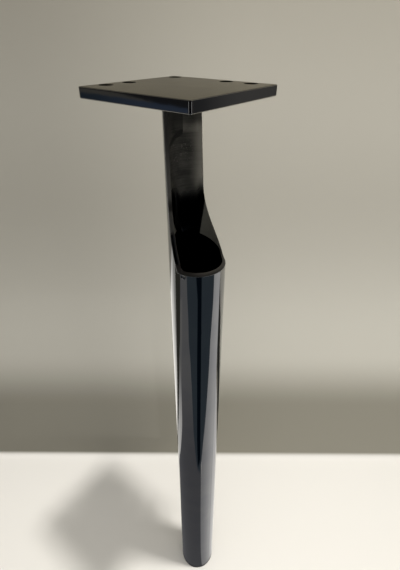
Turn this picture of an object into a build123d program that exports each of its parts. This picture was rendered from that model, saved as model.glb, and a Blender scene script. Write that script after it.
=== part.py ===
from build123d import *
import math
import os

# Metal furniture leg: a square mounting plate on a round tube with a scooped neck.
# The origin is the centre of the plate's top face, +Z points up into the furniture,
# and +X is the side that the scoop opens towards. All sizes are in millimetres.
overall_height = 720.0

# Mounting plate, with a screw hole in its back corner and a pair along each back edge
plate_side = 100.0
plate_thickness = 7.5
plate_corner_radius = 2.0
plate_edge_radius = 0.8
hole_radius = 4.5
hole_bevel = 0.4
hole_row_inset = 8.5
hole_pair_inset = 18.0
hole_pair_spacing = 22.0

# Leg tube, which stands off the plate's centre so that its neck comes under the centre
tube_radius = 25.0
tube_wall = 3.0
tube_centre_x = 15.0

# Scoop: below the plate only a strip of the back wall is left. The cut leans out a
# little on its way down, then swings out on a large arc and turns aside, and ends in a
# level rim.
neck_chord_offset = -11.2
neck_lean = 1.4
neck_straight_end_z = -75.0
rim_z = -135.5
scoop_arc_radius = 128.0
scoop_turn = -17.0
scoop_depth = 60.0
scoop_width = 90.0
scoop_steps = 12
scoop_corner_radius = 4.0
rim_edge_radius = 2.4

# Fillet weld round the outside of the neck, just short of its two edges
weld_leg = 3.0
weld_bulge = 0.4
weld_half_span = 52.0

# Floor glide: a hollow plug with ring fins, pressed into the foot of the tube
glide_thickness = 5.0
glide_bevel = 1.5
plug_radius = 20.0
plug_wall = 2.5
plug_length = 24.0
fin_thickness = 1.5
fin_spacing = 6.0
fin_count = 3

plate_half = plate_side / 2
bore_radius = tube_radius - tube_wall
tube_foot_z = glide_thickness - overall_height
tube_length = -plate_thickness - tube_foot_z
tube_axis = Axis((tube_centre_x, 0, 0), (0, 0, 1))


# Mounting plate with rounded corners, softened edges and five bevelled screw holes
hole_row = plate_half - hole_row_inset
pair_outer = plate_half - hole_pair_inset
pair_inner = pair_outer - hole_pair_spacing
hole_places = [
    (-hole_row, hole_row),
    (-hole_row, -pair_outer),
    (-hole_row, -pair_inner),
    (pair_inner, hole_row),
    (pair_outer, hole_row),
]

with BuildPart() as mounting_plate:
    with BuildSketch(Plane.XY.offset(-plate_thickness)):
        RectangleRounded(plate_side, plate_side, plate_corner_radius)
    extrude(amount=plate_thickness)
    top_edges = mounting_plate.faces().sort_by(Axis.Z)[-1].edges()
    bottom_edges = mounting_plate.faces().sort_by(Axis.Z)[0].edges()
    fillet(top_edges + bottom_edges, radius=plate_edge_radius)
    with BuildSketch(Plane.XY):
        with Locations(*hole_places):
            Circle(hole_radius)
    extrude(amount=-plate_thickness, mode=Mode.SUBTRACT)
    hole_rims = mounting_plate.edges().filter_by(
        lambda edge: edge.geom_type == GeomType.CIRCLE and abs(edge.radius - hole_radius) < 0.01
    )
    chamfer(hole_rims, length=hole_bevel)
mounting_plate.part.label = "mounting_plate"


# Scoop cutter: upright sections, each a rectangle whose near side is the cut's chord.
# Down the arc the chord moves out from the neck, and the rectangle turns about the axis.
def scoop_section(height):
    drop = max(neck_straight_end_z - height, 0.0)
    lean = -height * math.tan(math.radians(neck_lean))
    swing = scoop_arc_radius - math.sqrt(scoop_arc_radius**2 - drop**2)
    offset = neck_chord_offset + lean + swing
    turn = scoop_turn * (drop / (neck_straight_end_z - rim_z)) ** 2
    outward = Vector(1, 0, 0).rotate(Axis.Z, turn)
    middle = Vector(tube_centre_x, 0, height) + outward * offset
    return Plane(origin=middle, x_dir=outward, z_dir=(0, 0, 1))


with BuildPart() as scoop_cutter:
    for step in range(scoop_steps + 1):
        with BuildSketch(scoop_section(rim_z * step / scoop_steps)):
            Rectangle(scoop_depth, scoop_width, align=(Align.MIN, Align.CENTER))
    loft()
    floor_edges = scoop_cutter.faces().sort_by(Axis.Z)[0].edges()
    fillet(floor_edges.sort_by(Axis.X)[0], radius=scoop_corner_radius)


# Leg tube, cut by the scoop, with the outer edge of the cut rounded over
def on_outer_cut(edge):
    middle = edge @ 0.5
    from_axis = math.hypot(middle.X - tube_centre_x, middle.Y)
    below_plate = middle.Z < -plate_thickness - 1.0
    above_rim = middle.Z > rim_z - 1.0
    return abs(from_axis - tube_radius) < 0.05 and below_plate and above_rim


with BuildPart() as leg_tube:
    with BuildSketch(Plane((tube_centre_x, 0, tube_foot_z))):
        Circle(tube_radius)
        Circle(bore_radius, mode=Mode.SUBTRACT)
    extrude(amount=tube_length)
    add(scoop_cutter.part, mode=Mode.SUBTRACT)
    fillet(leg_tube.edges().filter_by(on_outer_cut), radius=rim_edge_radius)
leg_tube.part.label = "leg_tube"


# Weld bead in the corner between the neck's outer face and the underside of the plate
weld_start = 180.0 - weld_half_span
weld_outward = Vector(1, 0, 0).rotate(Axis.Z, weld_start)
weld_plane = Plane(
    origin=(tube_centre_x, 0, -plate_thickness),
    x_dir=weld_outward,
    z_dir=weld_outward.cross(Vector(0, 0, 1)),
)
weld_toe = (tube_radius + weld_leg, 0)
weld_root = (tube_radius, 0)
weld_heel = (tube_radius, -weld_leg)

with BuildPart() as neck_weld:
    with BuildSketch(weld_plane):
        with BuildLine():
            Polyline(weld_toe, weld_root, weld_heel)
            SagittaArc(weld_heel, weld_toe, -weld_bulge)
        make_face()
    revolve(axis=tube_axis, revolution_arc=2 * weld_half_span)
neck_weld.part.label = "neck_weld"


# Floor glide: the flange that stands on the floor, then the hollow plug and its fins
def foot_plane(height):
    return Plane((tube_centre_x, 0, height - overall_height))


with BuildPart() as floor_glide:
    with BuildSketch(foot_plane(0)):
        Circle(tube_radius)
    extrude(amount=glide_thickness)
    chamfer(floor_glide.faces().sort_by(Axis.Z)[0].edges(), length=glide_bevel)
    with BuildSketch(foot_plane(glide_thickness)):
        Circle(plug_radius)
        Circle(plug_radius - plug_wall, mode=Mode.SUBTRACT)
    extrude(amount=plug_length)
    for fin in range(fin_count):
        with BuildSketch(foot_plane(glide_thickness + fin_spacing * (fin + 1))):
            Circle(bore_radius)
            Circle(plug_radius, mode=Mode.SUBTRACT)
        extrude(amount=fin_thickness)
floor_glide.part.label = "floor_glide"


os.makedirs("parts", exist_ok=True)
export_step(mounting_plate.part, "parts/mounting_plate.step")
export_step(leg_tube.part, "parts/leg_tube.step")
export_step(neck_weld.part, "parts/neck_weld.step")
export_step(floor_glide.part, "parts/floor_glide.step")
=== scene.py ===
import bpy
import math
import numpy as np
from mathutils import Matrix, Vector


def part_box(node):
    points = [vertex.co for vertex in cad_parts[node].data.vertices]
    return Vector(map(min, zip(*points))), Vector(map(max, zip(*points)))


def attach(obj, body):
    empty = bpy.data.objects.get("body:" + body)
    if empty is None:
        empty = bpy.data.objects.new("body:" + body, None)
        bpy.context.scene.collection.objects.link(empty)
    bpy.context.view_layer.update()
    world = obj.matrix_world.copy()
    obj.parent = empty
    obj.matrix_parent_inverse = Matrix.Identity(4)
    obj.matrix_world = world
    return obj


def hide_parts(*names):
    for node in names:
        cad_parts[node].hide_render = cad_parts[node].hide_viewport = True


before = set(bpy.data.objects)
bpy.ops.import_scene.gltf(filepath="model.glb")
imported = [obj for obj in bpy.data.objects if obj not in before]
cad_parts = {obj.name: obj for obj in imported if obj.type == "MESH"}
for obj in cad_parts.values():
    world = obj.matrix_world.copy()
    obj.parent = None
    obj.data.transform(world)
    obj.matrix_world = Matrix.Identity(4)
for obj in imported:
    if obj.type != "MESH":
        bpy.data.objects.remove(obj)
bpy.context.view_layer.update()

print("frame loaded:", ", ".join(sorted(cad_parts)))
bpy.context.scene.view_settings.view_transform = "Standard"

# where the leg stands and how big it is, read from the frame, in metres
glideLow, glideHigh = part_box("floor_glide")
plateLow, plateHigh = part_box("mounting_plate")
legAxisX = (glideLow.x + glideHigh.x) / 2
tubeRadius = (glideHigh.x - glideLow.x) / 2
floorLevel = glideLow.z


# camera: worked out from the plate's corners and the tube's two outlines in the photograph
cameraSettings = {
    "place": (0.1943, -0.2260, 0.0310),
    "heading": 127.93,        # degrees round from +X
    "lookDown": 33.83,
    "roll": 0.28,
    "focalPixels": 377.2,
    "photoHeight": 570,
    "sensorSize": 36.0,       # millimetres along the photograph's longer side, its height
    "nearClip": 0.01,
}


def placeCamera(s):
    heading, down, roll = (math.radians(s[key]) for key in ("heading", "lookDown", "roll"))
    level = Vector((math.cos(heading), math.sin(heading), 0.0))
    forward = level * math.cos(down) - Vector((0.0, 0.0, math.sin(down)))
    right = Vector((math.sin(heading), -math.cos(heading), 0.0))
    up = right.cross(forward)
    rolledRight = right * math.cos(roll) + up * math.sin(roll)
    rolledUp = up * math.cos(roll) - right * math.sin(roll)
    data = bpy.data.cameras.new("photoCamera")
    data.lens = s["focalPixels"] / s["photoHeight"] * s["sensorSize"]
    data.sensor_width = s["sensorSize"]
    data.clip_start = s["nearClip"]
    camera = bpy.data.objects.new("photoCamera", data)
    turned = Matrix((rolledRight, rolledUp, -forward)).transposed().to_4x4()
    camera.matrix_world = Matrix.Translation(Vector(s["place"])) @ turned
    bpy.context.scene.collection.objects.link(camera)
    bpy.context.scene.camera = camera
    return camera


camera = placeCamera(cameraSettings)
print("camera placed, lens", round(camera.data.lens, 2), "mm")


# a value that varies over a surface: arithmetic on it adds Math nodes to its material
class Field:
    def __init__(self, tree, socket):
        self.tree = tree
        self.socket = socket

    def math(self, operation, *values):
        node = self.tree.nodes.new("ShaderNodeMath")
        node.operation = operation
        for socket, value in zip(node.inputs, values):
            feed(value, socket)
        return Field(self.tree, node.outputs[0])

    def __add__(self, other):
        return self.math("ADD", self, other)

    def __sub__(self, other):
        return self.math("SUBTRACT", self, other)

    def __rsub__(self, other):
        return self.math("SUBTRACT", other, self)

    def __mul__(self, other):
        return self.math("MULTIPLY", self, other)

    def __truediv__(self, other):
        return self.math("DIVIDE", self, other)

    def __pow__(self, power):
        return self.math("POWER", self, power)

    def __abs__(self):
        return self.math("ABSOLUTE", self)


# a field is linked to the socket, and a plain number or colour is set on it
def feed(value, socket):
    if isinstance(value, Field):
        value.tree.links.new(value.socket, socket)
    else:
        socket.default_value = value


def larger(first, second):
    return first.math("MAXIMUM", first, second)


def smaller(first, second):
    return first.math("MINIMUM", first, second)


def rootOf(value):
    return value.math("SQRT", value)


def angleOf(upward, along):
    return upward.math("ARCTAN2", upward, along) * math.degrees(1.0)


# runs softly from low at start to high at end
def fade(value, start, end, low=0.0, high=1.0):
    node = value.tree.nodes.new("ShaderNodeMapRange")
    node.interpolation_type = "SMOOTHSTEP"
    settings = {"Value": value, "From Min": start, "From Max": end, "To Min": low, "To Max": high}
    for name, number in settings.items():
        feed(number, node.inputs[name])
    return Field(value.tree, node.outputs["Result"])


def between(value, limits, soft):
    low, high = limits
    return fade(value, low - soft, low + soft) * fade(value, high + soft, high - soft)


def grain(place, scale, detail=3.0, rough=0.5, stretch=(1.0, 1.0, 1.0)):
    mapping = place.tree.nodes.new("ShaderNodeMapping")
    mapping.inputs["Scale"].default_value = stretch
    noise = place.tree.nodes.new("ShaderNodeTexNoise")
    noise.inputs["Scale"].default_value = scale
    noise.inputs["Detail"].default_value = detail
    noise.inputs["Roughness"].default_value = rough
    feed(place, mapping.inputs["Vector"])
    feed(Field(place.tree, mapping.outputs["Vector"]), noise.inputs["Vector"])
    return Field(place.tree, noise.outputs["Fac"])


def distanceTo(place, spot):
    node = place.tree.nodes.new("ShaderNodeVectorMath")
    node.operation = "DISTANCE"
    feed(place, node.inputs[0])
    node.inputs[1].default_value = spot
    return Field(place.tree, node.outputs["Value"])


def blendColour(factor, first, second):
    node = factor.tree.nodes.new("ShaderNodeMix")
    node.data_type = "RGBA"
    colours = [socket for socket in node.inputs if socket.type == "RGBA"]
    feed(factor, node.inputs[0])
    feed(first, colours[0])
    feed(second, colours[1])
    blended = [socket for socket in node.outputs if socket.type == "RGBA"][0]
    return Field(factor.tree, blended)


def blendNumber(factor, first, second):
    return (1.0 - factor) * first + factor * second


def addBump(shader, height, distance, strength=1.0):
    bump = height.tree.nodes.new("ShaderNodeBump")
    bump.inputs["Strength"].default_value = strength
    bump.inputs["Distance"].default_value = distance
    feed(height, bump.inputs["Height"])
    feed(Field(height.tree, bump.outputs["Normal"]), shader.inputs["Normal"])


def newMaterial(name):
    material = bpy.data.materials.new(name)
    material.use_nodes = True
    tree = material.node_tree
    tree.nodes.clear()
    output = tree.nodes.new("ShaderNodeOutputMaterial")
    place = Field(tree, tree.nodes.new("ShaderNodeTexCoord").outputs["Object"])
    return material, output, place


def newFinish(name):
    material, output, place = newMaterial(name)
    shader = place.tree.nodes.new("ShaderNodeBsdfPrincipled")
    place.tree.links.new(shader.outputs["BSDF"], output.inputs["Surface"])
    return material, shader, place


def splitPlace(place):
    node = place.tree.nodes.new("ShaderNodeSeparateXYZ")
    feed(place, node.inputs["Vector"])
    return [Field(place.tree, node.outputs[name]) for name in ("X", "Y", "Z")]


# distance from the leg's axis, and the two parts of it along X and Y
def aroundAxis(place):
    x, y = splitPlace(place)[:2]
    across = x - legAxisX
    return rootOf(across ** 2.0 + y ** 2.0), across, y


def dress(node, material):
    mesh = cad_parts[node].data
    if not mesh.materials:
        mesh.materials.append(material)
    for index in range(len(mesh.materials)):
        mesh.materials[index] = material


# dark chrome of the tube: a deep mirror outside. The inside of the neck was ground by hand and
# left dull, with two dull shoulders lower down; the wall below carries painted shade, near black,
# and the edge of the cut was filed and stayed matte. Heights are millimetres from the plate's top.
# Angles are degrees round the leg's axis, anticlockwise from above and counted from angleZero,
# so that the neck runs from -11 at its right edge to 115 at its left.
tubeChrome = {
    "mirror": (0.285, 0.287, 0.296, 1.0),
    "mirrorTint": (0.262, 0.266, 0.282, 1.0),
    "mirrorRoughness": 0.05,
    "cloudScale": 38.0,
    "cloudLimits": (0.35, 0.7),
    "cloudRoughness": 0.02,
    "waveScale": 150.0,                # long waves left by drawing the tube
    "waveStretch": (1.0, 1.0, 0.02),
    "waveDepth": 0.000012,
    # painted shade: near black on the inner wall and on a stretch of the filed edge
    "insideShade": (0.014, 0.015, 0.018, 1.0),
    "insideRadii": (0.0243, 0.0232),   # the inner wall's finish takes over between these, painted shade where it is not ground
    "angleZero": 128.0,                # degrees round from +X

    "groundDark": (0.016, 0.016, 0.014, 1.0),
    "groundLight": (0.500, 0.480, 0.425, 1.0),
    "groundRoughness": 0.48,
    "patchRoughness": 0.16,            # how much the patches change it
    "groundMetal": 0.45,
    "groundEnds": (-0.092, -0.071),    # metres: the grinding dies out between these heights
    "wanderScale": 110.0,              # its lower end wanders by this much, in metres
    "wanderReach": 0.008,
    "leftShortening": (38.0, 56.0, 0.008),     # and stops higher at the left and right sides
    "rightShortening": (4.0, -8.0, 0.004),
    "streakScale": 95.0,
    "streakStretch": (0.4, 0.4, 13.0),
    "patchScale": 75.0,
    "grindWeights": (0.30, 0.35),      # of the streaks and the patches in the ground tone
    "grindLimits": (0.20, 0.44),
    "grindTones": (0.01, 0.15),
    "slopeAngles": (42.0, -12.0),      # it grows a little paler from left to right
    "slopeStrength": 0.05,
    "scoreWeights": (0.6, -0.4),       # of the streaks and the pits in the bump
    "scoreDepth": 0.0004,

    "pitScale": 780.0,
    "pitLimits": (0.60, 0.72),
    "pitHeights": (-55.0, -41.0),
    "pitAngles": (8.0, 66.0),
    "pitSoftness": (3.0, 8.0),         # in millimetres and in degrees
    "pitStrength": 0.24,
    "squareHeights": (-33.0, -12.0),   # a paler square patch
    "squareAngles": (-2.0, 30.5),
    "squareSoftness": (0.8, 1.2),      # in degrees and in millimetres
    "squareLimits": (0.35, 0.60, 0.4, 1.0),    # the patches show through it
    "squareStrength": 0.17,
    "shadeRight": (29.5, 31.5),        # the darker place left of the square: its soft right,
    "shadeLeft": (66.0, 54.0),         # left and lower ends
    "shadeBottom": (-34.5, -31.5),
    "shadeStrength": 0.05,
    "curveStart": (32.0, -33.0),       # a dark line that curves down to the left from here
    "curveEnd": 74.0,
    "curveDrop": (0.022, 1.6),         # millimetres of drop = first x degrees to the second power
    "curveWidths": (3.2, 0.6),
    "curveSoftness": 3.0,
    "curveStrength": 0.12,
    "liftAngles": (26.0, -12.0),       # the grinding grows bright towards the neck's right edge
    "liftStrength": 0.75,
    "plateShadowHeights": (-30.5, -23.5),      # and is darker above these heights, a painted shadow of the plate
    "plateShadowShare": 0.35,

    "leftShoulder": (0.150, 0.147, 0.125, 1.0),
    "leftTip": (56.0, -114.0),         # a wedge: the angle and height of its tip
    "leftSpread": (1.15, 5.0),         # degrees that it draws back for each millimetre up and down
    "rightShoulder": (0.215, 0.212, 0.184, 1.0),
    "rightEdge": (-50.0, -0.375),      # angle of its left edge = first + second x height
    "rightBottom": (-119.725, 0.155),  # height of its lower edge = first + second x angle
    "shoulderHeights": (-133.0, -89.0),
    "shoulderSoftness": (2.0, 0.8, 1.5),       # of the side edges, the lower edge and the two ends

    "rimTone": (0.024, 0.022, 0.020, 1.0),
    "cutTone": (0.110, 0.106, 0.098, 1.0),
    # painted highlight up the right of the neck, speckled by the filed grain
    "cutHighlight": (0.700, 0.680, 0.620, 1.0),
    "speckleScale": 420.0,
    "speckleLimits": (0.30, 0.62, 0.35, 1.0),
    "cutRise": (-82.0, -72.0),         # above these heights the edge turns from rim to cut tone
    "cutFall": (-26.0, -62.0, 0.25, 1.0),      # and loses most of it again towards the plate
    "highlightHeights": (-70.0, -48.0),
    "greyHeights": (-103.0, -86.0),    # the left edge is grey beside the left shoulder
    "greyShare": 0.6,
    "shadowCutHeights": (-130.0, -105.0),  # and black below it, painted shade
    "cutSoftness": (1.5, 2.0),         # of the grey and of the black painted-shade stretch
    "sideReach": (0.002, 0.008),       # metres from the middle plane to the left and right edge

    "rimHeight": -135.5,               # the cut's shape, as in the solid
    "cutOffset": -11.2,
    "cutLean": 1.4,                    # degrees
    "straightEnd": -75.0,
    "cutArc": 128.0,
    "cutTurn": -17.0,                  # degrees
    "filedDepths": (2.55, 2.2),        # how deep the rounded edge reaches behind the cut
    "boreRadii": (0.02204, 0.02222),   # metres: the filed edge ends at the bore

    "dentPlace": (0.01933, -0.02462, -0.1394),     # a small dent in the outer wall below the rim
    "dentRadius": 0.0030,
    "dentDepth": 0.00100,
    "smudgePlace": (0.03463, -0.01548, -0.1965),   # a small wavy patch in the polish
    "smudgeRadius": 0.0055,
    "smudgeScale": 420.0,
    "smudgeDepth": 0.00011,
}


# how far the grinding inside the neck reaches: 1 in the ground zone, 0 below it
def groundZone(s, place, z, angle):
    wander = (grain(place, s["wanderScale"], 2.0) - 0.5) * s["wanderReach"]
    for start, end, short in (s["leftShortening"], s["rightShortening"]):
        wander = wander - fade(angle, start, end, 0.0, short)
    return fade(z + wander, *s["groundEnds"])


# how pale the grinding is: level streaks and patches, lifted towards the right, with a paler
# square, pits and a dark curved line, and all of it darker near the plate as its painted shadow
def groundTone(s, streaks, patches, pits, height, angle):
    streakShare, patchShare = s["grindWeights"]
    tone = fade(streaks * streakShare + patches * patchShare, *s["grindLimits"], *s["grindTones"])
    tone = tone + fade(angle, *s["slopeAngles"], 0.0, s["slopeStrength"])
    lift = fade(angle, *s["liftAngles"])
    tone = tone + lift * lift * s["liftStrength"]
    sideSoft, endSoft = s["squareSoftness"]
    square = between(angle, s["squareAngles"], sideSoft) * between(height, s["squareHeights"], endSoft)
    tone = tone + square * fade(patches, *s["squareLimits"]) * s["squareStrength"]
    tone = tone + pits * s["pitStrength"]

    startAngle, startHeight = s["curveStart"]
    factor, power = s["curveDrop"]
    curveHeight = startHeight - larger(angle - startAngle, 0.0) ** power * factor
    curve = fade(abs(height - curveHeight), *s["curveWidths"])
    curve = curve * between(angle, (startAngle, s["curveEnd"]), s["curveSoftness"])
    tone = tone - curve * s["curveStrength"]

    shade = fade(angle, *s["shadeRight"]) * fade(angle, *s["shadeLeft"]) * fade(height, *s["shadeBottom"])
    tone = tone - shade * s["shadeStrength"]
    # painted shadow of the plate: darker towards it
    return tone * fade(height, *s["plateShadowHeights"], 1.0, s["plateShadowShare"])


# dull shoulders below the ground zone: the right one under a slanting edge, the left one a wedge
def shoulderMasks(s, height, angle):
    edgeAngle = height * s["rightEdge"][1] + s["rightEdge"][0]
    bottomHeight = angle * s["rightBottom"][1] + s["rightBottom"][0]
    sideSoft, bottomSoft, endSoft = s["shoulderSoftness"]
    right = fade(angle - edgeAngle, sideSoft, -sideSoft)
    right = right * fade(height - bottomHeight, -bottomSoft, bottomSoft)
    tipAngle, tipHeight = s["leftTip"]
    above = larger(height - tipHeight, 0.0) * s["leftSpread"][0]
    below = larger(tipHeight - height, 0.0) * s["leftSpread"][1]
    left = fade(angle - (above + below + tipAngle), -sideSoft, sideSoft)
    both = larger(right, left) * between(height, s["shoulderHeights"], endSoft)
    return right, both


# the filed edge lies up to a few millimetres behind the cut's face, outside the bore. The face
# stands off the axis by offset + lean x depth + swing of the arc, and turns aside by the square
# of its drop below the straight part.
def filedEdge(s, radius, height, across, y):
    drop = larger(s["straightEnd"] - height, 0.0)
    share = drop / (s["straightEnd"] - s["rimHeight"])
    turn = share * share * math.radians(s["cutTurn"])
    swing = s["cutArc"] - rootOf(larger(s["cutArc"] ** 2 - drop * drop, 0.0))
    face = s["cutOffset"] - height * math.tan(math.radians(s["cutLean"])) + swing
    own = across * turn.math("COSINE", turn) + y * turn.math("SINE", turn)
    depth = larger(face - own * 1000.0, s["rimHeight"] - height)
    return fade(depth, *s["filedDepths"]) * fade(radius, *s["boreRadii"])


# the edge's colours: darkest on the rim, a painted highlight speckled by the filed grain up the right of
# the neck, and on the left grey beside the shoulder and black painted shade between that and the rim
def filedColour(s, place, height, y):
    near, far = s["sideReach"]
    speckles = fade(grain(place, s["speckleScale"], 2.0), *s["speckleLimits"])
    bright = fade(y, near, far) * fade(height, *s["highlightHeights"]) * speckles
    leftSide = fade(y, -near, -far)
    upCut = fade(height, *s["cutRise"]) * fade(height, *s["cutFall"])
    greySoft, shadowSoft = s["cutSoftness"]
    greyCut = leftSide * s["greyShare"] * between(height, s["greyHeights"], greySoft)
    # painted shade: black on the left edge between these heights
    shadowCut = leftSide * between(height, s["shadowCutHeights"], shadowSoft)
    colour = blendColour(larger(upCut, greyCut), s["rimTone"], s["cutTone"])
    colour = blendColour(bright, colour, s["cutHighlight"])
    return blendColour(shadowCut, colour, s["insideShade"]), shadowCut


def tubeFinish(s):
    material, shader, place = newFinish("darkChromeTube")
    radius, across, y = aroundAxis(place)
    z = splitPlace(place)[2]
    height = z * 1000.0
    turn = math.radians(s["angleZero"])
    along = across * math.cos(turn) + y * math.sin(turn)
    beside = y * math.cos(turn) - across * math.sin(turn)
    angle = angleOf(beside, along)
    clouds = grain(place, s["cloudScale"], 2.0)
    streaks = grain(place, s["streakScale"], 4.0, 0.6, s["streakStretch"])
    patches = grain(place, s["patchScale"], 3.0, 0.55)
    pits = fade(grain(place, s["pitScale"], 2.0), *s["pitLimits"])
    endSoft, sideSoft = s["pitSoftness"]
    pits = pits * (between(height, s["pitHeights"], endSoft) * between(angle, s["pitAngles"], sideSoft))

    inside = fade(radius, *s["insideRadii"])
    outside = blendColour(fade(clouds, *s["cloudLimits"]), s["mirror"], s["mirrorTint"])
    # the inner wall below the ground zone is painted near black: painted shade
    plated = blendColour(inside, outside, s["insideShade"])
    upNeck = groundZone(s, place, z, angle)
    tone = groundTone(s, streaks, patches, pits, height, angle)
    rightShoulder, shoulders = shoulderMasks(s, height, angle)
    groundColour = blendColour(tone, s["groundDark"], s["groundLight"])
    shoulderColour = blendColour(rightShoulder, s["leftShoulder"], s["rightShoulder"])
    ground = inside * larger(upNeck, shoulders)
    colour = blendColour(ground, plated, blendColour(upNeck, shoulderColour, groundColour))
    filed = filedEdge(s, radius, height, across, y)
    cutColour, shadowCut = filedColour(s, place, height, y)
    feed(blendColour(filed, colour, cutColour), shader.inputs["Base Color"])

    dull = larger(ground, filed * (1.0 - shadowCut))
    feed(1.0 - dull * (1.0 - s["groundMetal"]), shader.inputs["Metallic"])
    polished = clouds * s["cloudRoughness"] + s["mirrorRoughness"]
    worn = (patches - 0.5) * s["patchRoughness"] + s["groundRoughness"]
    feed(blendNumber(dull, polished, worn), shader.inputs["Roughness"])

    streakShare, pitShare = s["scoreWeights"]
    scores = (streaks * streakShare + pits * pitShare) * dull * s["scoreDepth"]
    waves = grain(place, s["waveScale"], 2.0, 0.5, s["waveStretch"]) * s["waveDepth"]
    dent = fade(distanceTo(place, s["dentPlace"]), s["dentRadius"], 0.0, 0.0, s["dentDepth"])
    smudge = fade(distanceTo(place, s["smudgePlace"]), s["smudgeRadius"], 0.0, 0.0, s["smudgeDepth"])
    ripples = smudge * grain(place, s["smudgeScale"], 1.0)
    addBump(shader, scores + waves + (ripples - dent), 1.0)
    return material


# dark chrome of the plate: the same plating, over a plate that was only lightly polished on top
plateChrome = {
    "top": (0.192, 0.183, 0.165, 1.0),
    "topTint": (0.164, 0.157, 0.145, 1.0),
    "topPale": (0.272, 0.259, 0.233, 1.0),   # paler towards two of its corners
    "paleReach": (0.015, 0.075),       # |x + y| between which it grows paler
    "topLayer": (-0.00035, -0.00005),  # the top's finish starts between these heights
    "side": (0.270, 0.270, 0.276, 1.0),
    "topRoughness": 0.20,
    "sideRoughness": 0.030,
    "grazingTint": (0.62, 0.60, 0.54, 1.0),
    "cloudScale": 45.0,
    "cloudLimits": (0.3, 0.7),
    "scuffScale": 60.0,
    "scuffStrength": 0.06,
    "sideScuffs": 0.5,                 # the sides' share of the scuffs
    "rippleScale": 110.0,
    "rippleDepth": 0.000010,
    # painted shade in the holes and on a ring round each
    "holeShade": (0.010, 0.010, 0.010, 1.0),
    "holeRoughness": 0.6,
    "holeRow": 0.0415,                 # the five holes stand this far out along two edges
    "pairPlaces": (0.010, 0.032),      # and the pairs at these places along them
    "holeRadius": 0.0053,              # with its bevel and the dark ring round it, painted shade
    "holeSoftness": 0.00015,
    "edgeReflection": (0.085, 0.082, 0.078, 1.0),
    "edgeReflectionWidths": (0.0024, 0.0006),    # the top darkens towards its edges: a painted dark reflection in their rounding
    "markPlace": (0.001, 0.009),       # a faint shallow mark above the weld
    "markRadius": 0.006,
    "markTone": (0.10, 0.085, 0.07, 1.0),
    "markStrength": 0.25,
    "markDepth": 0.00003,
}


def plateFinish(s):
    material, shader, place = newFinish("darkChromePlate")
    x, y, z = splitPlace(place)

    def levelDistance(spot):
        return rootOf((x - spot[0]) ** 2.0 + (y - spot[1]) ** 2.0)

    row = s["holeRow"]
    nearest = levelDistance((-row, row))
    for along in s["pairPlaces"]:
        nearest = smaller(nearest, levelDistance((-row, -along)))
        nearest = smaller(nearest, levelDistance((along, row)))
    inHole = fade(nearest, s["holeRadius"] + s["holeSoftness"], s["holeRadius"] - s["holeSoftness"])
    onTop = fade(z, *s["topLayer"])
    mark = fade(levelDistance(s["markPlace"]), s["markRadius"], 0.0) * onTop

    clouds = grain(place, s["cloudScale"])
    top = blendColour(fade(clouds, *s["cloudLimits"]), s["top"], s["topTint"])
    top = blendColour(fade(abs(x + y), *s["paleReach"]), top, s["topPale"])
    top = blendColour(mark * s["markStrength"], top, s["markTone"])
    # painted reflection: the top darkens towards its edges
    inward = plateHigh.x - larger(abs(x), abs(y))
    top = blendColour(fade(inward, *s["edgeReflectionWidths"]), top, s["edgeReflection"])
    plated = blendColour(onTop, s["side"], top)
    # the holes and their rings are painted dark: painted shade
    feed(blendColour(inHole, plated, s["holeShade"]), shader.inputs["Base Color"])
    shader.inputs["Metallic"].default_value = 1.0
    shader.inputs["Specular Tint"].default_value = s["grazingTint"]

    scuffs = grain(place, s["scuffScale"], 4.0, 0.6) * s["scuffStrength"]
    scuffs = scuffs * blendNumber(onTop, s["sideScuffs"], 1.0)
    rough = blendNumber(onTop, s["sideRoughness"], s["topRoughness"]) + scuffs
    feed(blendNumber(inHole, rough, s["holeRoughness"]), shader.inputs["Roughness"])
    ripple = grain(place, s["rippleScale"], 2.0) * s["rippleDepth"]
    addBump(shader, ripple - mark * s["markDepth"], 1.0)
    return material


# matte black moulded plastic of the glide: fine spark texture, scuffed pale where it slides
glidePlastic = {
    "plastic": (0.022, 0.022, 0.023, 1.0),
    "scuffed": (0.085, 0.083, 0.080, 1.0),
    "scuffHeight": 0.0022,             # metres above the floor
    "scratchScale": 260.0,
    "scratchLimits": (0.5, 0.72),
    "roughness": 0.55,
    "sparkScale": 2400.0,
    "sparkRoughness": 0.12,
    "sparkDepth": 0.00012,
    "sparkStrength": 0.6,
}


def glideFinish(s):
    material, shader, place = newFinish("mouldedPlastic")
    height = splitPlace(place)[2]
    nearFloor = fade(height, floorLevel + s["scuffHeight"], floorLevel)
    scratches = fade(grain(place, s["scratchScale"], 4.0, 0.7), *s["scratchLimits"])
    feed(blendColour(nearFloor * scratches, s["plastic"], s["scuffed"]), shader.inputs["Base Color"])
    spark = grain(place, s["sparkScale"], 2.0, 0.6)
    feed((spark - 0.5) * s["sparkRoughness"] + s["roughness"], shader.inputs["Roughness"])
    addBump(shader, spark, s["sparkDepth"], s["sparkStrength"])
    return material


dress("leg_tube", tubeFinish(tubeChrome))
dress("mounting_plate", plateFinish(plateChrome))
dress("floor_glide", glideFinish(glidePlastic))
print("plate, tube and glide finished")


# weld bead: overlapping ripples laid round the neck's outer face, a little uneven in width
weldBead = {
    "halfSpan": 52.0,          # degrees either side of the back
    "leg": 0.0030,
    "bulge": 0.0004,
    "rippleCount": 44,
    "rippleDepth": 0.00032,
    "rippleBow": 0.35,         # how far each ripple bows forward, as a share of its pitch
    "unevenness": 0.00022,
    "swayTurns": (31.0, 13.0),     # radians of the fast and the slow sway of its width
    "swayShares": (0.6, 0.4),
    "endTaper": 0.03,          # share of the half span in which each end runs out
    "around": 660,
    "across": 24,
    "metal": (0.230, 0.228, 0.226, 1.0),
    "heatTint": (0.150, 0.125, 0.105, 1.0),
    "cloudScale": 160.0,
    "cloudLimits": (0.4, 0.75),
    "roughness": 0.12,
    "cloudRoughness": 0.25,
    "spatterScale": 1500.0,
    "spatterDepth": 0.0001,
}


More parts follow.
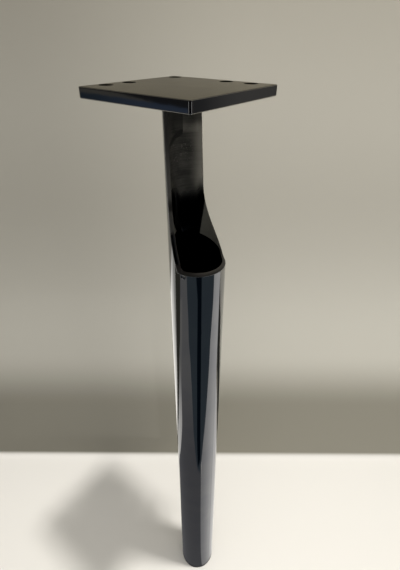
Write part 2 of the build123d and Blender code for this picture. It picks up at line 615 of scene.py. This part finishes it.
# quads between neighbouring points of a grid that is stored row after row: each joins a point,
# the one a row on, the one beside that, and the one beside the first
def gridFaces(rows, columns, closeColumns=False):
    last = columns if closeColumns else columns - 1
    row, column = np.meshgrid(np.arange(rows - 1), np.arange(last), indexing="ij")
    beside = (column + 1) % columns
    faces = np.stack([row * columns + column, (row + 1) * columns + column,
                      (row + 1) * columns + beside, row * columns + beside], axis=-1)
    return faces.reshape(-1, 4)


# a smooth mesh on the grid's points, with the flat caps that close its ends
def meshFromGrid(name, points, faces, caps=()):
    mesh = bpy.data.meshes.new(name)
    mesh.from_pydata(points.reshape(-1, 3).tolist(), [], faces.tolist() + [list(cap) for cap in caps])
    mesh.polygons.foreach_set("use_smooth", [True] * len(mesh.polygons))
    mesh.update()
    piece = bpy.data.objects.new(name, mesh)
    bpy.context.scene.collection.objects.link(piece)
    return piece


# place = root corner + (out, down) in the radial plane at each angle. Across the face the pair
# runs from the plate to the tube on a straight leg-to-leg line, pushed out by a sine bulge and
# held back by the crescent ripples; the last column closes the bead along its root.
def layWeld(s):
    along = np.linspace(-1.0, 1.0, s["around"])[:, None]
    face = np.linspace(0.0, 1.0, s["across"])[None, :]
    angle = np.radians(180.0 + s["halfSpan"] * along)
    taper = np.clip((1.0 - np.abs(along)) / s["endTaper"], 0.0, 1.0) ** 0.5
    fast, slow = s["swayTurns"]
    fastShare, slowShare = s["swayShares"]
    sway = np.sin(along * fast) * fastShare + np.sin(along * slow + 1.0) * slowShare
    leg = (s["leg"] - s["unevenness"] * (0.5 + 0.5 * sway)) * taper
    crown = np.sin(math.pi * face)
    crescent = along * s["rippleCount"] / 2 + s["rippleBow"] * crown
    ripple = (crescent - np.floor(crescent)) ** 2
    push = s["bulge"] * crown - s["rippleDepth"] * ripple * crown
    slant = math.sqrt(0.5)
    root = np.zeros_like(along)
    out = np.concatenate([leg * (1.0 - face) + push * slant * taper, root], axis=1)
    down = np.concatenate([leg * face + push * slant * taper, root], axis=1)
    reach = tubeRadius + out
    points = np.stack([legAxisX + reach * np.cos(angle), reach * np.sin(angle), plateLow.z - down], axis=-1)
    columns = s["across"] + 1
    firstEnd = list(range(columns))
    lastEnd = [(s["around"] - 1) * columns + index for index in reversed(firstEnd)]
    faces = gridFaces(s["around"], columns, closeColumns=True)
    piece = meshFromGrid("weldBead", points, faces, (firstEnd, lastEnd))
    middle = piece.data.polygons[len(piece.data.polygons) // 2]
    if middle.normal.dot(Vector((-1.0, 0.0, -1.0))) < 0:
        piece.data.flip_normals()
    return piece


def weldFinish(s):
    material, shader, place = newFinish("platedWeld")
    clouds = grain(place, s["cloudScale"])
    tint = fade(clouds, *s["cloudLimits"])
    feed(blendColour(tint, s["metal"], s["heatTint"]), shader.inputs["Base Color"])
    shader.inputs["Metallic"].default_value = 1.0
    feed(clouds * s["cloudRoughness"] + s["roughness"], shader.inputs["Roughness"])
    addBump(shader, grain(place, s["spatterScale"], 3.0, 0.6), s["spatterDepth"])
    return material


bead = layWeld(weldBead)
bead.data.materials.append(weldFinish(weldBead))
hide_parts("neck_weld")
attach(bead, "root")
print("weld bead laid,", len(bead.data.polygons), "faces")


# studio: pale floor and a pale wall close behind the leg, joined by a short sweep
studio = {
    "wallDistance": 0.468,     # from the camera, along its heading
    "wallTop": 3.2,            # above the floor
    "sweepRadius": 0.012,
    "sweepSteps": 13,
    "halfWidth": 4.0,
    "floorReach": 4.0,
    "wallLift": 0.0001,        # keeps the wall's foot just clear of the floor
    "floorEdge": 0.002,        # the floor's tone ends this far up the sweep
    "floorTone": (0.80, 0.786, 0.755, 1.0),
    "wallTone": (0.71, 0.695, 0.63, 1.0),
    "wallShade": (0.36, 0.342, 0.295, 1.0),
    "lowShade": (-0.39, -0.13, 0.60),      # the wall darkens upwards in two soft steps,
    "highShade": (-0.07, 0.15, 0.42),      # each from a height to a height by a share
    "leftShade": (0.06, -0.20, 0.27),      # and towards its left
    "baseTone": (0.345, 0.331, 0.280, 1.0),
    "baseHeights": (-0.42, -0.56),         # its base darkens softly between these
    "roughness": 0.85,
    "gloss": 0.1,
}
heading = math.radians(cameraSettings["heading"])
ahead = np.array([math.cos(heading), math.sin(heading)])
side = np.array([math.sin(heading), -math.cos(heading)])
cameraFoot = np.array(cameraSettings["place"][:2])


# place = camera's foot + forward x ahead + width x side, with a height for each forward step
def studioSheet(name, forward, height):
    width = np.linspace(-studio["halfWidth"], studio["halfWidth"], 3)
    flat = cameraFoot + forward[:, None, None] * ahead + width[None, :, None] * side
    level = np.broadcast_to((floorLevel + height)[:, None, None], flat.shape[:2] + (1,))
    piece = meshFromGrid(name, np.concatenate([flat, level], axis=-1), gridFaces(len(forward), len(width)))
    facing = Vector((-ahead[0], -ahead[1], 8.0))     # up, and a little back towards the camera
    if piece.data.polygons[0].normal.dot(facing) < 0:
        piece.data.flip_normals()
    return piece


# the floor runs on under the wall, for the views from behind; the wall rises from it by a
# quarter turn, sweep radius x (1 - sine) back and x (1 - cosine) up, and throws no shadow
def buildStudio(s):
    floor = studioSheet("studioFloor", np.array([-s["floorReach"], s["floorReach"]]), np.zeros(2))
    turn = np.linspace(0.0, math.pi / 2, s["sweepSteps"])
    back = s["wallDistance"] - s["sweepRadius"] * (1 - np.sin(turn))
    rise = s["wallLift"] + s["sweepRadius"] * (1 - np.cos(turn))
    wall = studioSheet("studioWall", np.append(back, s["wallDistance"]), np.append(rise, s["wallTop"]))
    wall.visible_shadow = False
    return floor, wall


# pale paper, shaded upwards and to the left on the wall; a back face lets the view through
def studioFinish(s):
    material, output, place = newMaterial("studioPaper")
    tree = place.tree
    shader = tree.nodes.new("ShaderNodeBsdfPrincipled")
    x, y, z = splitPlace(place)
    sideways = (x - float(cameraFoot[0])) * float(side[0]) + (y - float(cameraFoot[1])) * float(side[1])
    lowStart, lowEnd, lowShare = s["lowShade"]
    highStart, highEnd, highShare = s["highShade"]
    leftStart, leftEnd, leftShare = s["leftShade"]
    shade = fade(z, lowStart, lowEnd, 0.0, lowShare) + fade(z, highStart, highEnd, 0.0, highShare)
    wall = blendColour(shade, s["wallTone"], s["wallShade"])
    wall = blendColour(fade(z, *s["baseHeights"]), wall, s["baseTone"])
    wall = blendColour(fade(sideways, leftStart, leftEnd, 0.0, leftShare), wall, (0.0, 0.0, 0.0, 1.0))
    onWall = fade(z, floorLevel + s["floorEdge"], floorLevel + s["sweepRadius"])
    feed(blendColour(onWall, s["floorTone"], wall), shader.inputs["Base Color"])
    shader.inputs["Roughness"].default_value = s["roughness"]
    shader.inputs["Specular IOR Level"].default_value = s["gloss"]
    clear = tree.nodes.new("ShaderNodeBsdfTransparent")
    behind = tree.nodes.new("ShaderNodeNewGeometry").outputs["Backfacing"]
    mix = tree.nodes.new("ShaderNodeMixShader")
    for source, socket in zip((behind, shader.outputs["BSDF"], clear.outputs["BSDF"]), mix.inputs):
        tree.links.new(source, socket)
    tree.links.new(mix.outputs["Shader"], output.inputs["Surface"])
    return material


studioPaper = studioFinish(studio)
for sheet in buildStudio(studio):
    sheet.data.materials.append(studioPaper)


# cards that only the polish sees: glowing thin sheets that paint the room's reflection, each with its
# own soft tone, that runs from one colour to another with the distance from the leg's axis, or with the
# angle round it
def cardMaterial(name, first, second, reach, byAngle):
    material, output, place = newMaterial(name)
    radius, across, y = aroundAxis(place)
    run = angleOf(y, across) if byAngle else radius
    glow = place.tree.nodes.new("ShaderNodeEmission")
    feed(blendColour(fade(run, *reach), (*first, 1.0), (*second, 1.0)), glow.inputs["Color"])
    place.tree.links.new(glow.outputs["Emission"], output.inputs["Surface"])
    return material


def finishCard(piece, first, second=None, reach=(0.0, 1.0), byAngle=False):
    piece.data.materials.append(cardMaterial(piece.name, first, second or first, reach, byAngle))
    piece.visible_camera = False
    piece.visible_diffuse = False
    piece.visible_shadow = False
    piece.visible_transmission = False
    piece.visible_volume_scatter = False


# one flat face through its corners, lifted off the floor
def floorCard(name, corners, lift):
    points = np.array([[x, y, floorLevel + lift] for x, y in corners])
    return meshFromGrid(name, points, np.arange(len(corners))[None, :])


# place = camera's foot + (wall's distance less the lift) x ahead + right x side, at its height
def wallCard(name, corners, lift):
    right, height = np.array(corners).T
    flat = cameraFoot + ahead * (studio["wallDistance"] - lift) + right[:, None] * side
    points = np.column_stack([flat, height])
    return meshFromGrid(name, points, np.arange(len(corners))[None, :])


ringSteps = 30    # points along each upright sheet


# an upright sheet: radius x (cosine, sine) of its angle round the leg's axis, with a bottom and
# a top edge that each run straight in height from its first angle to its last
def ringCard(name, radius, angles, bottoms, tops):
    share = np.linspace(0.0, 1.0, ringSteps)
    angle = np.radians(angles[0] + (angles[1] - angles[0]) * share)
    x = legAxisX + radius * np.cos(angle)
    y = radius * np.sin(angle)
    levels = [ends[0] + (ends[1] - ends[0]) * share for ends in (bottoms, tops)]
    points = np.stack([np.stack([x, y, level], axis=-1) for level in levels])
    return meshFromGrid(name, points, gridFaces(2, len(angle)))


# painted reflections, what the polish mirrors. On the floor, edges run from near the leg outwards, as
# (x, y) in metres; on the wall, corners are (metres to the camera's right, height).
mirrored = {
    "greyNear": (0.125, 0.125, 0.130),
    "greyFar": (0.205, 0.203, 0.200),
    "navy": (0.056, 0.072, 0.084),
    "black": (0.004, 0.008, 0.013),
    "blackest": (0.0015, 0.002, 0.003),
    "brown": (0.055, 0.053, 0.042),
    "brownGrey": (0.045, 0.044, 0.038),
    "paleNear": (0.36, 0.355, 0.35),
    "paleFar": (0.86, 0.84, 0.80),
    "streakNear": (0.80, 0.78, 0.73),
    "streakFar": (0.26, 0.255, 0.24),
    "brightNear": (1.40, 1.352, 1.255),
    "brightFar": (0.60, 0.585, 0.53),
    "wallGreyNear": (0.125, 0.122, 0.115),
    "wallGreyFar": (0.045, 0.045, 0.046),
    "roomGrey": (0.098, 0.094, 0.082),
    "roomDark": (0.020, 0.020, 0.021),
    "roomNavyLeft": (0.030, 0.042, 0.056),
    "roomNavyRight": (0.052, 0.070, 0.106),
    "glint": (0.62, 0.62, 0.60),
    "brownEdge": [(-0.27, -0.025), (-0.355, -0.19), (-0.40, -0.27), (-0.40, -0.40), (-0.47, -0.61)],
    "streakEdge": [(-0.15, 0.05), (-0.185, -0.01), (-0.21, -0.20), (-0.29, -0.29), (-0.31, -0.37),
                   (-0.305, -0.48), (-0.34, -0.70)],
    "navyLeft": [(0.14, -0.155), (0.108, -0.27), (0.102, -0.39), (0.072, -0.50), (0.013, -0.59),
                 (0.013, -0.68), (-0.03, -0.78), (-0.20, -1.60)],
    "navyRight": [(0.172, -0.106), (0.203, -0.104), (0.26, -0.085), (0.38, -0.018), (0.51, 0.055),
                  (0.59, 0.09), (0.75, 0.25), (0.86, 0.31), (1.60, 0.62)],
    "blackLeft": [(0.148, -0.15), (0.174, -0.21), (0.32, -0.40), (0.52, -0.60), (0.54, -0.90)],
    "blackRight": [(0.192, -0.122), (0.271, -0.182), (0.95, -0.62)],
    "greyCorners": [(0.015, 0.0), (0.13, -0.07), (0.182, -0.097), (0.30, -0.25), (1.10, -2.2),
                    (-2.2, -2.2), (-2.2, -0.06), (-0.16, 0.02), (-0.03, 0.02)],
    "paleCorners": [(0.015, 0.0), (0.129, -0.07), (0.203, -0.104), (0.90, -0.30), (1.10, 0.90),
                    (0.30, 1.0), (-0.02, 0.04)],
    "brownCorners": [(-0.60, -1.10), (-2.0, -1.5), (-1.8, -0.9), (-0.55, 0.0)],
    "wallLeft": (-1.60, -0.08),        # the left cards' two ends, and their three heights
    "wallLeftHeights": (-0.719, -0.66, -0.30),
    "wallBaseCorners": [(0.02, -0.66), (0.44, -0.645), (0.62, -0.70), (0.62, -0.36), (0.29, -0.46),
                        (0.02, -0.57)],
    "wallGreyCorners": [(0.60, -0.719), (0.40, -0.30), (0.38, 0.60), (1.60, 0.60), (1.60, -0.719)],
}


# each card lies a little higher than those that it covers
def mirroredFloor(s):
    # the grey sheet paints the floor in shade, as the polish mirrors it
    grey = floorCard("frontLeftGrey", s["greyCorners"], 0.001)
    finishCard(grey, s["greyNear"], s["greyFar"], (0.18, 0.50))
    pale = floorCard("rightFloor", s["paleCorners"], 0.0015)
    finishCard(pale, s["paleNear"], s["paleFar"], (-48.0, 62.0), byAngle=True)
    navyOutline = s["navyLeft"] + [(1.60, -1.60)] + s["navyRight"][::-1]
    finishCard(floorCard("frontNavy", navyOutline, 0.002), s["navy"])
    blackOutline = s["blackLeft"] + s["blackRight"][::-1]
    finishCard(floorCard("frontBlack", blackOutline, 0.003), s["black"])
    brownOutline = [(-0.24, 0.10)] + s["brownEdge"] + s["brownCorners"]
    finishCard(floorCard("leftDark", brownOutline, 0.003), s["brown"])
    streakOutline = [(-0.205, 0.06)] + s["brownEdge"] + s["streakEdge"][::-1]
    streak = floorCard("leftStreak", streakOutline, 0.004)
    finishCard(streak, s["streakNear"], s["streakFar"], (0.27, 0.50))


def mirroredWall(s):
    far, near = s["wallLeft"]
    low, middle, high = s["wallLeftHeights"]
    bright = wallCard("leftWallBright", [(near, middle), (far, middle), (far, high), (near, high)], 0.002)
    finishCard(bright, s["brightNear"], s["brightFar"], (0.22, 0.50))
    base = wallCard("leftWallBase", [(near, low), (far, low), (far, middle), (near, middle)], 0.002)
    finishCard(base, s["brown"])
    finishCard(wallCard("rightWallBase", s["wallBaseCorners"], 0.002), s["brownGrey"])
    grey = wallCard("rightWallGrey", s["wallGreyCorners"], 0.003)
    finishCard(grey, s["wallGreyNear"], s["wallGreyFar"], (0.55, 0.98))


# each sheet: radius, first and last angle, and the heights of its bottom and top edge at both
def mirroredRoom(s):
    finishCard(ringCard("roomSides", 1.68, (-180.0, 20.0), (-0.72, -0.72), (0.80, 0.80)), s["roomDark"])
    navy = ringCard("roomLeftNavy", 1.66, (-152.0, -124.0), (-0.72, -0.72), (-0.145, -0.275))
    finishCard(navy, s["roomNavyLeft"], s["roomNavyRight"], (-144.0, -134.0), byAngle=True)
    grey = ringCard("roomLeftGrey", 1.65, (-156.0, -133.0), (-0.127, -0.232), (-0.06, -0.231))
    finishCard(grey, s["roomGrey"])
    finishCard(ringCard("roomGlintLeft", 1.64, (-104.0, -92.0), (-0.55, -0.55), (0.10, 0.10)), s["glint"])
    finishCard(ringCard("roomGlintRight", 1.64, (-12.0, 2.0), (-0.40, -0.40), (0.10, 0.10)), s["glint"])
    right = ringCard("roomBlackRight", 1.26, (-30.0, 75.0), (-0.72, -0.72), (-0.42, -0.42))
    finishCard(right, s["blackest"])
    front = ringCard("roomBlackFront", 0.80, (-84.0, -22.0), (-0.52, -0.52), (0.90, 0.90))
    finishCard(front, s["blackest"])


mirroredFloor(mirrored)
mirroredWall(mirrored)
mirroredRoom(mirrored)
print("stage built")


# soft light: a large box overhead, a small lamp that gives the plate its soft shadow on the
# floor, and an even surround that the polish sees much darker
lightSettings = {
    "overhead": {"place": (0.45, -0.35, 1.70), "aim": (0.1, -0.1, -0.72), "size": 1.2, "power": 14.0},
    "shadowLamp": {"place": (0.235, 0.10, 1.10), "aim": (0.0, 0.0, -0.72), "size": 0.08, "power": 21.0},
    "lampTone": (1.0, 0.97, 0.92),
    "surround": 0.36,
    "surroundTone": (1.0, 0.985, 0.95, 1.0),
    "surroundInPolish": 0.10,
    "polishTone": (1.0, 0.95, 0.88, 1.0),
}


def addLamp(name, s, tone):
    data = bpy.data.lights.new(name, "AREA")
    data.size = s["size"]
    data.energy = s["power"]
    data.color = tone
    lamp = bpy.data.objects.new(name, data)
    away = Vector(s["place"]) - Vector(s["aim"])
    lamp.location = s["place"]
    lamp.rotation_euler = away.to_track_quat("Z", "Y").to_euler()
    lamp.visible_glossy = False
    bpy.context.scene.collection.objects.link(lamp)


def surroundLight(s):
    world = bpy.data.worlds.new("studioSurround")
    bpy.context.scene.world = world
    world.use_nodes = True
    tree = world.node_tree
    tree.nodes.clear()
    output = tree.nodes.new("ShaderNodeOutputWorld")
    mix = tree.nodes.new("ShaderNodeMixShader")
    polishRay = tree.nodes.new("ShaderNodeLightPath").outputs["Is Glossy Ray"]
    tree.links.new(polishRay, mix.inputs[0])
    lights = ((s["surroundTone"], s["surround"]), (s["polishTone"], s["surroundInPolish"]))
    for socket, (tone, strength) in zip(list(mix.inputs)[1:], lights):
        background = tree.nodes.new("ShaderNodeBackground")
        background.inputs["Color"].default_value = tone
        background.inputs["Strength"].default_value = strength
        tree.links.new(background.outputs["Background"], socket)
    tree.links.new(mix.outputs["Shader"], output.inputs["Surface"])


addLamp("overheadSoftbox", lightSettings["overhead"], lightSettings["lampTone"])
addLamp("shadowLamp", lightSettings["shadowLamp"], lightSettings["lampTone"])
surroundLight(lightSettings)
print("lights set")
